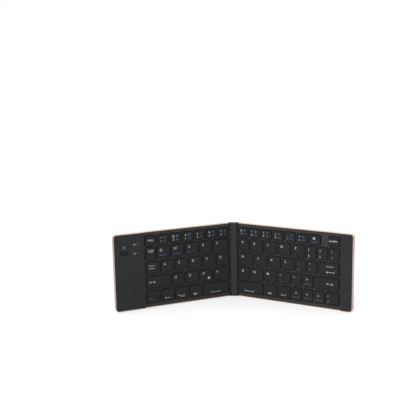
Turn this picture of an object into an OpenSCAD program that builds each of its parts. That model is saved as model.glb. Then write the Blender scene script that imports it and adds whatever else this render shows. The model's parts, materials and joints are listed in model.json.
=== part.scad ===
// Folding keyboard: two key panels that swing on a twin-axis spine.
//
// Each half is drawn lying flat, in its own directions:
//   u runs from its hinge axis to its outer end,
//   y runs from its front long edge to its back long edge,
//   w runs up from the outer face of its metal cover to the keys.
// The halves are then stood on their front long edges, open in a wide V, with
// the hinge axes along +Z and the keys towards -Y.

/* [Halves] */
// Length of a half, from its hinge axis to its outer end
half_len = 149.2; // [146:0.1:153]
// Outer corner radius of the metal covers
corner_r = 4; // [3:0.1:6]
// Corner radius of the covers at the hinge
hinge_corner_r = 1; // [0.5:0.1:1.5]
// Thickness of the cover's floor
cover_t = 0.9; // [0.7:0.05:1.1]
// Thickness of the cover's side walls
wall_t = 0.9; // [0.7:0.05:1.2]
// Rounding of the edge of the cover's outer face
cover_round = 1.2; // [0.6:0.1:1.4]
// Height of the cover walls beside the keys
wall_h = 5; // [4:0.1:5.2]
// Height of the cover walls beside the control panel
slab_wall_h = 6.3; // [6.1:0.1:6.6]
// Height of the cover walls beside the end strip
lip_wall_h = 5.8; // [5.3:0.1:6.2]
// Length of the slope where a cover wall steps up
wall_ramp = 4; // [2:0.5:6]
// Gap between the plastic decks and the cover walls
seat_gap = 0.1; // [0.05:0.05:0.2]

/* [Deck] */
// Height of the deck's face
deck_top = 5.4; // [5.3:0.05:5.6]
// Thickness of the deck's face
deck_t = 1.2; // [1:0.05:1.3]
// Thickness of the skirts that stand inside the covers
skirt_t = 1; // [0.8:0.05:1.1]
// Thickness of the deck's skirt next to the hinge
hinge_skirt_t = 0.45; // [0.4:0.01:0.48]
// Seam between a deck and the panel beside it
seam = 0.1; // [0.1:0.05:0.2]
// Corner radius of the decks at the hinge
deck_corner_r = 0.8; // [0.4:0.1:1.2]
// Length of the control panel over the battery
slab_len = 35.4; // [34:0.1:37]
// Height of the control panel's face
slab_top = 7.4; // [7.2:0.05:7.45]
// Length of the end strip on the right half
lip_len = 13.35; // [12.5:0.05:15]
// Height of the end strip's face
lip_top = 7; // [6.8:0.05:7.1]
// Thickness of the control panel's and end strip's faces
panel_t = 1.2; // [1:0.05:1.3]
// Rounding of the faces' edges on the control panel and end strip
panel_round = 0.6; // [0.3:0.1:0.7]

/* [Keys] */
// Gap between neighbouring keycaps
key_gap = 1.8; // [1.7:0.05:2]
// Width of the escape key
escape_w = 13.5; // [13:0.1:14]
// Width of a letter key
letter_w = 16.2; // [15.6:0.05:16.6]
// Width of a number key
number_w = 13.6; // [13.2:0.05:13.8]
// Width of a bracket, comma or arrow key
narrow_w = 12.4; // [12:0.05:12.8]
// Width of the tab key
tab_w = 12.1; // [11.5:0.1:13]
// Width of the caps lock key and the function key
caps_w = 16.5; // [16:0.1:17]
// Width of the left shift key
shift_w = 30.1; // [29:0.1:31]
// Width of the left space key
left_space_w = 33.6; // [33:0.1:34.5]
// Width of the T and V keys beside the hinge
wide_letter_w = 20; // [19:0.1:21]
// Width of the G key beside the hinge
end_letter_w = 15.6; // [15:0.1:16.5]
// Width of the Y and B keys beside the hinge
edge_letter_w = 13.7; // [13:0.1:14.5]
// Width of the H key
home_letter_w = 18.8; // [18:0.1:19.5]
// Width of the enter key
enter_w = 25.4; // [25:0.1:26]
// Width of the right shift key
right_shift_w = 30.5; // [30:0.1:31]
// Width of the right space key
right_space_w = 31.9; // [31:0.1:33]
// Width of the bare deck before the last key of the number row
blank_w = 6.4; // [5:0.1:7]
// Depth of the keys in the number row
number_row_d = 11.8; // [11:0.1:12.5]
// Depth of the keys in the other rows
row_d = 15.6; // [15:0.1:16]
// Gap between rows
row_gap = 2.4; // [2.2:0.05:2.7]
// Gap behind the letter rows, before the number row
number_row_gap = 2.1; // [1.9:0.05:2.4]
// Bare deck behind the number row
back_margin = 4.2; // [4.1:0.1:5]
// Bare deck in front of the lowest row
front_margin = 4.7; // [4.2:0.1:5.5]
// Bare deck between the hinge edge and the first keys
hinge_margin = 1.2; // [1.15:0.05:1.5]
// Bare deck between the left keys and the control panel
slab_margin = 2.3; // [1.8:0.1:3]
// Bare deck between the right keys and the end strip
lip_margin = 1.85; // [1.85:0.05:2.5]
// Height of the keycaps' faces
key_top = 6.4; // [6.35:0.05:6.6]
// Travel of a key
key_travel = 1.2; // [0.8:0.05:1.25]
// Gap between a keycap and its opening in the deck
key_clear = 0.45; // [0.35:0.01:0.5]
// Corner radius of the keycaps
key_r = 1.5; // [1:0.1:1.8]
// Bevel round a keycap's face
key_bevel = 0.35; // [0.2:0.05:0.5]
// Thickness of a keycap's face and walls
cap_t = 1; // [0.8:0.05:1.2]
// Reach of a keycap's flange beyond its walls
flange_w = 0.65; // [0.6:0.01:0.68]
// Thickness of a keycap's flange
flange_t = 0.6; // [0.4:0.05:0.65]

/* [Hinge] */
// Angle by which each half is swung forward from lying flat
open_angle = 24.5; // [10:0.1:40]
// Distance between the two hinge axes
axis_gap = 7.8; // [7.8:0.1:9]
// Height of the hinge axes above the covers' outer faces
axis_w = 3.6; // [3.5:0.05:3.7]
// Radius of the spine's rounded sides
spine_r = 3.1; // [3:0.05:3.2]
// Gap between the spine's sides and the decks
spine_gap = 0.3; // [0.25:0.05:0.4]
// Distance of the spine's ends from the long edges of the halves
spine_inset = 0.6; // [0.3:0.1:1.5]
// Thickness of the spine's end caps
end_cap_t = 0.8; // [0.6:0.1:1.5]
// Distance from a hinge axis to the cover's hinge end
cover_u0 = 2.3; // [2.2:0.05:2.6]
// Radius of the hinge pins
pin_r = 1; // [0.8:0.05:1.2]
// Gap round a hinge pin
pin_clear = 0.05; // [0.02:0.01:0.08]
// Length of a hinge knuckle
knuckle_len = 10; // [8:0.5:14]
// Gap round a knuckle in its notch in the spine
knuckle_gap = 0.2; // [0.1:0.02:0.3]
// Distance from the long edges to the middle of the nearest knuckle
knuckle_inset = 15; // [12:0.5:20]
// Thickness of the hinge leaves
leaf_t = 0.7; // [0.5:0.05:0.75]
// Reach of the hinge leaves into the halves
leaf_reach = 16; // [12:0.5:20]
// Height of the arms that carry the knuckles
arm_top = 3; // [2.6:0.1:3]

/* [Inside] */
// Thickness of the chassis plate under the keys
chassis_t = 1.1; // [1:0.05:1.15]
// Thickness of the rubber dome sheet
sheet_t = 0.3; // [0.2:0.05:0.35]
// Radius of a rubber dome at its foot
dome_r = 3.4; // [2.5:0.1:4]
// Radius of the screws
screw_r = 0.6; // [0.5:0.05:0.6]
// Radius of the screw heads
screw_head_r = 1; // [0.9:0.05:1.1]
// Thickness of the screw heads
screw_head_t = 0.5; // [0.4:0.05:0.6]
// Distance of the screws from the decks' long edges
screw_inset = 2.3; // [2.25:0.01:2.35]
// Distance of the end screws from the decks' ends
screw_end_inset = 7; // [4:0.5:12]
// Radius of the bosses that take the screws
boss_r = 1.15; // [1:0.05:1.18]
// Width of the battery
battery_w = 22; // [18:0.5:22]
// Length of the battery
battery_len = 48; // [30:1:50]
// Thickness of the battery
battery_t = 4; // [3:0.1:4.5]
// Thickness of the main board
board_t = 0.8; // [0.6:0.1:1]
// Depth of the main board, from the back of the control panel
board_d = 34; // [31:0.5:36]
// Distance of the board's posts from its edges
post_inset = 2.4; // [2:0.1:2.8]
// Radius of the posts that take the board's screws
post_r = 1.4; // [1.2:0.05:1.6]
// Radius of the closing magnets
magnet_r = 3; // [2:0.1:3.2]
// Thickness of the closing magnets
magnet_t = 1.5; // [1:0.1:1.7]
// Distance of the closing magnets from the covers' long edges
magnet_inset = 12.6; // [12:0.1:14]

/* [Controls and feet] */
// Distance of the power slider's slot from the control panel's outer end
slider_inset = 11.8; // [10:0.1:13]
// Distance of the power slider's slot from the control panel's back edge
slider_back = 21.9; // [20:0.1:23]
// Length of the power slider's slot
slot_len = 9.8; // [9:0.1:11]
// Width of the power slider's slot
slot_w = 5; // [4:0.1:6]
// Width of the power slider's knob
knob_len = 5.6; // [4:0.1:6]
// Gap between the knob and the edges of its slot
slider_gap = 0.3; // [0.2:0.05:0.4]
// Distance of the knob's face below the control panel's face
knob_sink = 0.3; // [0.2:0.1:0.8]
// Radius of the status lights
light_r = 1.25; // [0.8:0.05:1.5]
// Distance of the status lights from the control panel's outer end
light_inset = 24.3; // [22:0.1:26]
// Distance of the first status light from the control panel's back edge
light_back = 12.7; // [11:0.1:14]
// Distance between the two status lights
light_pitch = 10.9; // [9:0.1:12]
// Width of the charging socket
socket_w = 8.9; // [8.6:0.1:9.2]
// Height of the charging socket
socket_h = 3.2; // [2.8:0.1:3.3]
// Length of the charging socket
socket_len = 7; // [6:0.1:7.4]
// Radius of the rubber feet
foot_r = 4.05; // [3:0.05:5]
// Height of the rubber feet above the covers
foot_h = 0.9; // [0.5:0.1:1.5]
// Depth of the pockets that hold the rubber feet
foot_seat = 0.3; // [0.2:0.05:0.5]
// Distance of the feet from the back long edges
foot_back = 8.3; // [6:0.1:12]
// Distance of the outer feet from the outer ends
foot_outer = 9.3; // [7:0.1:14]
// Distance of the inner feet from the covers' hinge ends
foot_inner = 8.3; // [6:0.1:12]

/* [Hidden] */
$fn = 48;
// Overlap that fuses touching shapes, and overrun of the cutting ones
eps = 0.01;
over = 1;

LEFT = 0;
RIGHT = 1;

rose_gold = [0.93, 0.80, 0.73];
deck_black = [0.21, 0.21, 0.215];
key_black = [0.16, 0.16, 0.165];
spine_black = [0.24, 0.24, 0.25];
rubber_black = [0.07, 0.07, 0.075];
steel = [0.72, 0.73, 0.75];
tinned = [0.80, 0.80, 0.78];
board_green = [0.10, 0.30, 0.18];
film_amber = [0.75, 0.45, 0.12];
pouch_silver = [0.76, 0.77, 0.78];
silicone_grey = [0.55, 0.57, 0.60];
black_steel = [0.10, 0.10, 0.105];
light_white = [0.85, 0.86, 0.84];

// Running gap round pieces that sit in pockets
inner_gap = 0.1;

// Places along u
deck_u0 = spine_r + spine_gap;
deck_end = half_len - wall_t - seat_gap;
slab_u0 = deck_end - slab_len;
lip_u0 = deck_end - lip_len;
key_u0 = deck_u0 + hinge_margin;
key_u1 = [slab_u0 - slab_margin, lip_u0 - lip_margin];
deck_u1 = [slab_u0 - seam, lip_u0 - seam];

// Places along y
rows_d = 4 * row_d + 3 * row_gap + number_row_gap + number_row_d;
deck_y0 = wall_t + seat_gap;
deck_y1 = deck_y0 + front_margin + rows_d + back_margin;
half_depth = deck_y1 + deck_y0;

// Heights
deck_under = deck_top - deck_t;
chassis_top = cover_t + chassis_t;
sheet_top = chassis_top + sheet_t;
slab_under = slab_top - panel_t;
lip_under = lip_top - panel_t;
cap_under = key_top - cap_t;
stem_gap = 0.05;
stem_len = 1.3;
stem_end = cap_under - stem_len;
stem_r = 1.5;
dome_top = stem_end - key_travel - stem_gap;
dome_tip_r = 1.8;
sheet_inset = 4;
sheet_corner_r = 1;
board_lift = 0.2;
board_bottom = cover_t + screw_head_t + board_lift;
board_top = board_bottom + board_t;

// Hinge places. The knuckles are flush with the spine's round sides.
knuckle_r = spine_r;
spine_z0 = spine_inset;
spine_z1 = half_depth - spine_inset;
leaf_end = 2;
leaf_y0 = knuckle_inset - knuckle_len / 2 - leaf_end;
leaf_y1 = half_depth - leaf_y0;
chassis_u0 = deck_u0 + hinge_skirt_t + inner_gap;
knuckle_y = [knuckle_inset, half_depth - knuckle_inset];
notch_r = knuckle_r + knuckle_gap;
cable_w = 8.4;
cable_t = 0.2;
cable_slot_w = 9;
cable_slot_t = 0.3;
cable_end_gap = 0.3;

// The halves' hinge axes lie just behind the line where the deck faces meet,
// and the whole object is centred over the origin.
front_reach = max((deck_end - panel_round) * sin(open_angle)
                    + (slab_top - panel_round - axis_w) * cos(open_angle) + panel_round,
                  half_len * sin(open_angle) + (slab_wall_h - axis_w) * cos(open_angle));
back_reach = max(spine_r, axis_w * cos(open_angle) - cover_u0 * sin(open_angle));
axis_y = (front_reach - back_reach) / 2;
axis_x = axis_gap / 2;

// Control places on the left half
slider_u = deck_end - slider_inset;
slider_y = deck_y1 - slider_back;
slider_travel = slot_len - knob_len - 2 * slider_gap;
slider_plate_t = 0.7;
slider_lip = 0.8;
slot_corner_r = 0.8;
grip_w = 0.6;
grip_pitch = 1.3;
grip_depth = 0.4;
pusher_r = 0.9;
light_u = deck_end - light_inset;
light_y = [deck_y1 - light_back, deck_y1 - light_back - light_pitch];
light_flange_w = 0.7;
light_flange_t = 0.6;

// Pieces inside the control panel and the end strip
magnet_u = deck_end - lip_len / 2;
magnet_y = [magnet_inset, half_depth - magnet_inset];
magnet_ring_t = 0.8;
inner_wall_gap = 0.8;
board_u0 = slab_u0 + skirt_t + inner_wall_gap;
board_u1 = deck_end - skirt_t - inner_wall_gap;
board_y1 = deck_y1 - skirt_t - inner_wall_gap;
board_y0 = board_y1 - board_d;
board_leg_w = 9;
battery_gap = 2;
battery_y0 = deck_y0 + skirt_t + battery_gap;
battery_corner_r = 1.5;
post_spots = [[board_u0 + post_inset, board_y1 - post_inset],
              [board_u0 + post_inset, board_y0 + post_inset],
              [board_u1 - post_inset, board_y0 + post_inset]];
post_screw_grip = 1.6;
boss_screw_gap = 0.4;
socket_u = board_u1 - board_leg_w / 2;
socket_y0 = 0.4;
socket_wall = 0.3;
socket_tongue = [6.4, 0.7];
switch_size = [9, 4, 2];
lamp_size = [1.6, 1.6, 0.6];
// Chips on the board: distance from its inner back corner, then size
chips = [[[1.5, 22], [6, 6, 0.9]], [[3, 14.8], [4, 3.2, 0.9]], [[5, 3.8], [7, 3.2, 1.6]]];

// Feet
foot_bevel = 0.35;
dimple_r = 1.4;
dimple_slope = 0.3;
dimple_depth = 0.2;

// Widths of the keys in each row, from the left of each half to its right, in
// their shares of the row's length. A negative width is bare deck.
key_rows = [
  [
    [escape_w, number_w, number_w, number_w, number_w, number_w, number_w],
    [tab_w, letter_w, letter_w, letter_w, letter_w, wide_letter_w],
    [caps_w, letter_w, letter_w, letter_w, letter_w, end_letter_w],
    [shift_w, letter_w, letter_w, letter_w, wide_letter_w],
    [caps_w, letter_w, letter_w, letter_w, left_space_w]
  ],
  [
    [narrow_w, number_w, number_w, number_w, number_w, number_w, number_w, -blank_w, number_w],
    [edge_letter_w, letter_w, letter_w, letter_w, letter_w, narrow_w, narrow_w, narrow_w],
    [home_letter_w, letter_w, letter_w, letter_w, narrow_w, narrow_w, enter_w],
    [edge_letter_w, letter_w, letter_w, letter_w, narrow_w, narrow_w, right_shift_w],
    [right_space_w, letter_w, letter_w, narrow_w, narrow_w, narrow_w, letter_w]
  ]
];

function sum(v, n) = n <= 0 ? 0 : abs(v[n - 1]) + sum(v, n - 1);
function row_fit(side, row) =
  let (v = key_rows[side][row])
  (key_u1[side] - key_u0 - key_gap * (len(v) - 1)) / sum(v, len(v));
function key_w(side, row, i) = key_rows[side][row][i] * row_fit(side, row);
function widths(side, row) = [for (i = [0:len(key_rows[side][row]) - 1]) key_w(side, row, i)];
function key_start(side, row, i) = sum(widths(side, row), i) + i * key_gap;
function key_u(side, row, i) = side == LEFT
  ? key_u1[LEFT] - key_start(side, row, i) - key_w(side, row, i)
  : key_u0 + key_start(side, row, i);
function row_depth(row) = row == 0 ? number_row_d : row_d;
function row_y(row) = deck_y1 - back_margin - number_row_d
  - (row == 0 ? 0 : number_row_gap + row * row_d + (row - 1) * row_gap);

// Stands a half on its front edge at its hinge axis, swung forward.
module stand(side) {
  if (side == LEFT)
    translate([-axis_x, axis_y, 0]) rotate([0, 0, open_angle]) rotate([90, 0, 0])
      translate([0, 0, -axis_w]) mirror([1, 0, 0]) children();
  else
    translate([axis_x, axis_y, 0]) rotate([0, 0, -open_angle]) rotate([90, 0, 0])
      translate([0, 0, -axis_w]) children();
}

// Flat rectangle with one radius at the hinge end and one at the outer end.
module plate(u0, u1, y0, y1, r_in, r_out) {
  translate([u0 + r_in, y0]) square([u1 - r_out - u0 - r_in, y1 - y0]);
  translate([u0, y0 + r_in]) square([u1 - u0 - r_out, y1 - y0 - 2 * r_in]);
  translate([u0 + r_in, y0 + r_out]) square([u1 - u0 - r_in, y1 - y0 - 2 * r_out]);
  if (r_in > 0)
    for (y = [y0 + r_in, y1 - r_in]) translate([u0 + r_in, y]) circle(r = r_in);
  if (r_out > 0)
    for (y = [y0 + r_out, y1 - r_out]) translate([u1 - r_out, y]) circle(r = r_out);
}

// Long bar whose cross-section is a polygon of (u, w) points, along y.
module bar_along_y(points, y0, y1) {
  translate([0, y1, 0]) rotate([90, 0, 0]) linear_extrude(y1 - y0) polygon(points);
}

// Long bar whose cross-section is a polygon of (y, w) points, along u.
module bar_along_u(points, u0, u1) {
  translate([u0, 0, 0]) rotate([90, 0, 90]) linear_extrude(u1 - u0) polygon(points);
}

module round_bar_y(u, w, r, y0, y1) {
  translate([u, y1, w]) rotate([90, 0, 0]) cylinder(r = r, h = y1 - y0);
}

// Section of a block from a to b whose upper edges are rounded.
module round_section(a, b, low, high, r) {
  translate([a, low]) square([b - a, high - r - low]);
  translate([a + r, low]) square([b - a - 2 * r, high - low]);
  for (x = [a + r, b - r]) translate([x, high - r]) circle(r = r);
}

// Long bars with such a section, along y and along u.
module round_bar_along_y(u0, u1, w0, w1, r, y0, y1) {
  translate([0, y1, 0]) rotate([90, 0, 0]) linear_extrude(y1 - y0) round_section(u0, u1, w0, w1, r);
}

module round_bar_along_u(y0, y1, w0, w1, r, u0, u1) {
  translate([u0, 0, 0]) rotate([90, 0, 90]) linear_extrude(u1 - u0) round_section(y0, y1, w0, w1, r);
}

// Plate from height w0 to w1 with its upper edges rounded.
module rounded_plate(u0, u1, y0, y1, r_in, r_out, w0, w1, round) {
  difference() {
    intersection() {
      translate([0, 0, w0]) linear_extrude(w1 - w0) plate(u0, u1, y0, y1, r_in, r_out);
      round_bar_along_y(u0, u1, w0 - over, w1, round, y0 - over, y1 + over);
      round_bar_along_u(y0, y1, w0 - over, w1, round, u0 - over, u1 + over);
    }
    corner_round(u1 - r_out, y0 + r_out, r_out, w1, round, -1);
    corner_round(u1 - r_out, y1 - r_out, r_out, w1, round, 1);
  }
}

// What the rounding takes off the corner of a plate at its outer end.
module corner_round(u, y, r, w, round, turn) {
  reach = r + over;
  translate([u, y, w - round]) difference() {
    translate([0, turn < 0 ? -reach : 0, 0]) cube([reach, reach, round + over]);
    rotate_extrude() {
      square([r - round, round]);
      intersection() {
        translate([r - round, 0]) circle(r = round);
        square([r, round]);
      }
    }
  }
}

// Metal cover: a shallow tray, open towards the spine and hollowed to clear its
// round side, whose walls step up beside the control panel or the end strip.
module metal_cover(high_u0, high_h) {
  r = corner_r;
  difference() {
    intersection() {
      linear_extrude(high_h) plate(cover_u0, half_len, 0, half_depth, hinge_corner_r, r);
      mirror([0, 0, 1])
        round_bar_along_y(cover_u0 - 2 * cover_round, half_len, -high_h - over, 0, cover_round,
                          -over, half_depth + over);
      mirror([0, 0, 1])
        round_bar_along_u(0, half_depth, -high_h - over, 0, cover_round, cover_u0 - over, half_len + over);
      bar_along_y([[cover_u0 - over, -over], [half_len + over, -over], [half_len + over, high_h],
                   [high_u0, high_h], [high_u0 - wall_ramp, wall_h], [cover_u0 - over, wall_h]],
                  -over, half_depth + over);
    }
    mirror([0, 0, 1]) {
      corner_round(half_len - r, r, r, 0, cover_round, -1);
      corner_round(half_len - r, half_depth - r, r, 0, cover_round, 1);
    }
    translate([0, 0, cover_t]) linear_extrude(high_h)
      plate(cover_u0 - over, half_len - wall_t, wall_t, half_depth - wall_t, 0, r - wall_t);
    round_bar_y(0, axis_w, spine_r + spine_gap, -over, half_depth + over);
    feet_places() translate([0, 0, -eps]) cylinder(r = foot_r + inner_gap, h = foot_seat + eps);
  }
}

module feet_places() {
  for (u = [cover_u0 + foot_inner, half_len - foot_outer])
    translate([u, half_depth - foot_back, 0]) children();
}

// Plastic deck with an opening for every key of its half, screw bosses under
// its margins, and openings in its hinge skirt for the knuckles and the cable.
module key_deck(side) {
  u1 = deck_u1[side];
  skirt_cut = hinge_skirt_t + 2 * over;
  difference() {
    union() {
      translate([0, 0, deck_under]) linear_extrude(deck_t)
        plate(deck_u0, u1, deck_y0, deck_y1, deck_corner_r, 0);
      translate([0, 0, cover_t]) linear_extrude(deck_under - cover_t + eps) difference() {
        plate(deck_u0, u1, deck_y0, deck_y1, deck_corner_r, 0);
        plate(deck_u0 + hinge_skirt_t, u1 - skirt_t, deck_y0 + skirt_t, deck_y1 - skirt_t, 0, 0);
      }
      screw_places(side) translate([0, 0, chassis_top])
        cylinder(r = boss_r, h = deck_under - chassis_top + eps);
    }
    translate([0, 0, deck_under - over]) linear_extrude(deck_t + 2 * over)
      all_keys(side) key_outline($w, $d, key_clear);
    screw_places(side) translate([0, 0, chassis_top - over])
      cylinder(r = screw_r + pin_clear, h = deck_under - chassis_top + over);
    for (y = knuckle_y)
      translate([deck_u0 - over, y - knuckle_len / 2 - knuckle_gap, cover_t - over])
        cube([skirt_cut, knuckle_len + 2 * knuckle_gap, arm_top + inner_gap + over - cover_t]);
    translate([deck_u0 - over, half_depth / 2 - cable_slot_w / 2, axis_w - cable_slot_t])
      cube([skirt_cut, cable_slot_w, 2 * cable_slot_t]);
  }
}

module screw_places(side) {
  for (u = [deck_u0 + screw_end_inset, (deck_u0 + deck_u1[side]) / 2, deck_u1[side] - screw_end_inset])
    for (y = [deck_y0 + screw_inset, deck_y1 - screw_inset])
      translate([u, y, 0]) children();
}

// Runs its child once for each key of a half, at the key's near front corner.
module all_keys(side) {
  for (row = [0:len(key_rows[side]) - 1])
    some_keys(side, row, 0, len(key_rows[side][row]) - 1) children();
}

module some_keys(side, row, first, last) {
  for (i = [first:last]) if (key_w(side, row, i) > 0) {
    $w = key_w(side, row, i);
    $d = row_depth(row);
    translate([key_u(side, row, i), row_y(row)]) children();
  }
}

module key_outline(w, d, grow) {
  plate(-grow, w + grow, -grow, d + grow, key_r + grow, key_r + grow);
}

// Section of a block from a to b whose upper edges are bevelled.
function bevel_section(a, b, low, high, bevel) =
  [[a, low], [b, low], [b, high - bevel], [b - bevel, high], [a + bevel, high], [a, high - bevel]];

// Keycap: a hollow cap with a bevelled face, a stem that meets the dome, and a
// flange that holds it under the deck.
module keycap(w, d) {
  low = deck_under - flange_t;
  difference() {
    union() {
      intersection() {
        translate([0, 0, low]) linear_extrude(key_top - low) key_outline(w, d, 0);
        bar_along_y(bevel_section(0, w, low - over, key_top, key_bevel), -over, d + over);
        bar_along_u(bevel_section(0, d, low - over, key_top, key_bevel), -over, w + over);
      }
      translate([0, 0, low]) linear_extrude(flange_t) key_outline(w, d, flange_w);
    }
    translate([0, 0, low - over]) linear_extrude(cap_under - low + over)
      plate(cap_t, w - cap_t, cap_t, d - cap_t, key_r / 2, key_r / 2);
  }
  translate([w / 2, d / 2, stem_end]) cylinder(r = stem_r, h = stem_len + eps);
}

module keycaps(side, row, first, last) {
  color(key_black) stand(side) some_keys(side, row, first, last) keycap($w, $d);
}

// Chassis plate under the keys, with a pocket for the hinge leaf and sunk
// holes for the screws that pull it up to the deck.
module key_chassis(side) {
  edge = skirt_t + inner_gap;
  difference() {
    translate([0, 0, cover_t]) linear_extrude(chassis_t)
      plate(chassis_u0, deck_u1[side] - edge, deck_y0 + edge, deck_y1 - edge, 0, 0);
    translate([chassis_u0 - over, leaf_y0 - inner_gap, cover_t - over])
      cube([leaf_reach - chassis_u0 + over + inner_gap, leaf_y1 - leaf_y0 + 2 * inner_gap, leaf_t + over]);
    screw_places(side) {
      translate([0, 0, cover_t - over]) cylinder(r = screw_head_r + inner_gap, h = screw_head_t + over);
      translate([0, 0, cover_t]) cylinder(r = screw_r + pin_clear, h = chassis_t + over);
    }
  }
}

// Silicone sheet with a dome under each key, drawn at the domes' pressed height.
module dome_sheet(side) {
  translate([0, 0, chassis_top]) linear_extrude(sheet_t)
    plate(key_u0, key_u1[side], deck_y0 + sheet_inset, deck_y1 - sheet_inset, sheet_corner_r, sheet_corner_r);
  all_keys(side) translate([$w / 2, $d / 2, sheet_top - eps])
    cylinder(h = dome_top - sheet_top + eps, r1 = dome_r, r2 = dome_tip_r);
}

// Steel leaf: a strip under the chassis, and two knuckles round the pin on arms
// that pass through the deck's hinge skirt.
module hinge_leaf() {
  difference() {
    union() {
      translate([chassis_u0, leaf_y0, cover_t]) cube([leaf_reach - chassis_u0, leaf_y1 - leaf_y0, leaf_t]);
      for (y = knuckle_y) {
        round_bar_y(0, axis_w, knuckle_r, y - knuckle_len / 2, y + knuckle_len / 2);
        translate([0, y - knuckle_len / 2, cover_t]) {
          cube([deck_u0 + hinge_skirt_t, knuckle_len, arm_top - cover_t]);
          cube([leaf_reach, knuckle_len, leaf_t]);
        }
      }
    }
    round_bar_y(0, axis_w, pin_r + pin_clear, -over, half_depth + over);
  }
}

module screw(w0, w1) {
  translate([0, 0, w0]) cylinder(r = screw_head_r, h = screw_head_t);
  translate([0, 0, w0 + screw_head_t - eps]) cylinder(r = screw_r, h = w1 - w0 - screw_head_t + eps);
}

module chassis_screws(side) {
  screw_places(side) screw(cover_t, deck_under - boss_screw_gap);
}

// Raised panel at a half's outer end: a face with a skirt down to the cover,
// and a ring under the face round each closing magnet.
module end_panel(u0, face, under) {
  r = corner_r - wall_t - seat_gap;
  difference() {
    rounded_plate(u0, deck_end, deck_y0, deck_y1, 0, r, cover_t, face, panel_round);
    translate([0, 0, cover_t - over]) linear_extrude(under - cover_t + over)
      plate(u0 + skirt_t, deck_end - skirt_t, deck_y0 + skirt_t, deck_y1 - skirt_t, 0, r - skirt_t);
  }
  for (y = magnet_y) translate([magnet_u, y, under - magnet_t]) difference() {
    cylinder(r = magnet_r + inner_gap + magnet_ring_t, h = magnet_t + eps);
    translate([0, 0, -over]) cylinder(r = magnet_r + inner_gap, h = magnet_t + over);
  }
}

module magnets(under) {
  for (y = magnet_y) translate([magnet_u, y, under - magnet_t]) cylinder(r = magnet_r, h = magnet_t);
}

// Rubber foot: a low disc with a bevelled rim and a shallow dimple.
module foot() {
  dimple_w = -foot_h + dimple_depth;
  rotate_extrude() polygon([[0, dimple_w], [dimple_r - dimple_slope, dimple_w], [dimple_r, -foot_h],
                            [foot_r - foot_bevel, -foot_h], [foot_r, -foot_h + foot_bevel],
                            [foot_r, foot_seat], [0, foot_seat]]);
}

// Round-ended outline, centred, along u.
module stadium(length, width) {
  square([length - width, width], center = true);
  for (s = [-1, 1]) translate([s * (length - width) / 2, 0]) circle(d = width);
}

// Bar along y with the charging socket's outline, grown by a margin.
module socket_bar(grow, y0, y1) {
  translate([socket_u, y1, board_top + socket_h / 2]) rotate([90, 0, 0])
    linear_extrude(y1 - y0) stadium(socket_w + 2 * grow, socket_h + 2 * grow);
}

module board_posts() {
  for (p = post_spots) translate([p[0], p[1], 0]) children();
}

// Spine cross-section: flat front and back, round sides about the two axes.
module spine_outline(r) {
  translate([-axis_x, -r]) square([axis_gap, 2 * r]);
  for (s = [-1, 1]) translate([s * axis_x, 0]) circle(r = r);
}

// Rail between the halves, bored for the pins and notched for the knuckles,
// with a flat slot through it for the ribbon cable.
module hinge_spine() {
  z0 = spine_z0 + end_cap_t;
  z1 = spine_z1 - end_cap_t;
  color(spine_black) translate([0, axis_y, 0]) difference() {
    translate([0, 0, z0]) linear_extrude(z1 - z0) spine_outline(spine_r);
    for (s = [-1, 1]) translate([s * axis_x, 0, 0]) {
      cylinder(r = pin_r + pin_clear, h = half_depth);
      for (z = knuckle_y) translate([0, 0, z - knuckle_len / 2 - knuckle_gap])
        cylinder(r = notch_r, h = knuckle_len + 2 * knuckle_gap);
    }
    translate([-axis_x - spine_r - over, -cable_slot_t / 2, half_depth / 2 - cable_slot_w / 2])
      cube([axis_gap + 2 * (spine_r + over), cable_slot_t, cable_slot_w]);
  }
}

module spine_end_caps() {
  color(spine_black) translate([0, axis_y, 0])
    for (z = [spine_z0, spine_z1 - end_cap_t])
      translate([0, 0, z]) linear_extrude(end_cap_t) spine_outline(spine_r);
}

module hinge_pin(s) {
  color(steel) translate([s * axis_x, axis_y, spine_z0 + end_cap_t])
    cylinder(r = pin_r, h = spine_z1 - spine_z0 - 2 * end_cap_t);
}

module left_hinge_pin() { hinge_pin(-1); }
module right_hinge_pin() { hinge_pin(1); }

// Ribbon cable through the spine, between the pins.
module flex_cable() {
  reach = axis_x - pin_r - pin_clear - cable_end_gap;
  color(film_amber) translate([-reach, axis_y - cable_slot_t / 2, half_depth / 2 - cable_w / 2])
    cube([2 * reach, cable_t, cable_w]);
}

module left_bottom_cover() {
  color(rose_gold) stand(LEFT) difference() {
    metal_cover(slab_u0, slab_wall_h);
    socket_bar(inner_gap, -over, wall_t + over);
  }
}

module left_top_deck() { color(deck_black) stand(LEFT) key_deck(LEFT); }

module left_control_panel() {
  cut_h = panel_t + 2 * over;
  color(deck_black) stand(LEFT) difference() {
    union() {
      end_panel(slab_u0, slab_top, slab_under);
      board_posts() translate([0, 0, board_top]) cylinder(r = post_r, h = slab_under - board_top + eps);
    }
    translate([slider_u, slider_y, slab_under - over]) linear_extrude(cut_h)
      slot_outline(slot_len, slot_w, slot_corner_r);
    for (y = light_y) translate([light_u, y, slab_under - over])
      cylinder(r = light_r + inner_gap, h = cut_h);
    board_posts() translate([0, 0, board_top - over])
      cylinder(r = screw_r + pin_clear, h = over + post_screw_grip + boss_screw_gap);
    socket_bar(inner_gap, 0, deck_y0 + skirt_t + over);
  }
}

// Rounded rectangle, centred.
module slot_outline(length, width, r) {
  plate(-length / 2, length / 2, -width / 2, width / 2, r, r);
}

module left_key_chassis() { color(steel) stand(LEFT) key_chassis(LEFT); }
module left_dome_sheet() { color(silicone_grey) stand(LEFT) dome_sheet(LEFT); }
module left_hinge_leaf() { color(black_steel) stand(LEFT) hinge_leaf(); }

module left_screws() {
  color(steel) stand(LEFT) {
    chassis_screws(LEFT);
    board_posts() screw(board_bottom - screw_head_t, board_top + post_screw_grip);
  }
}

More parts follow.
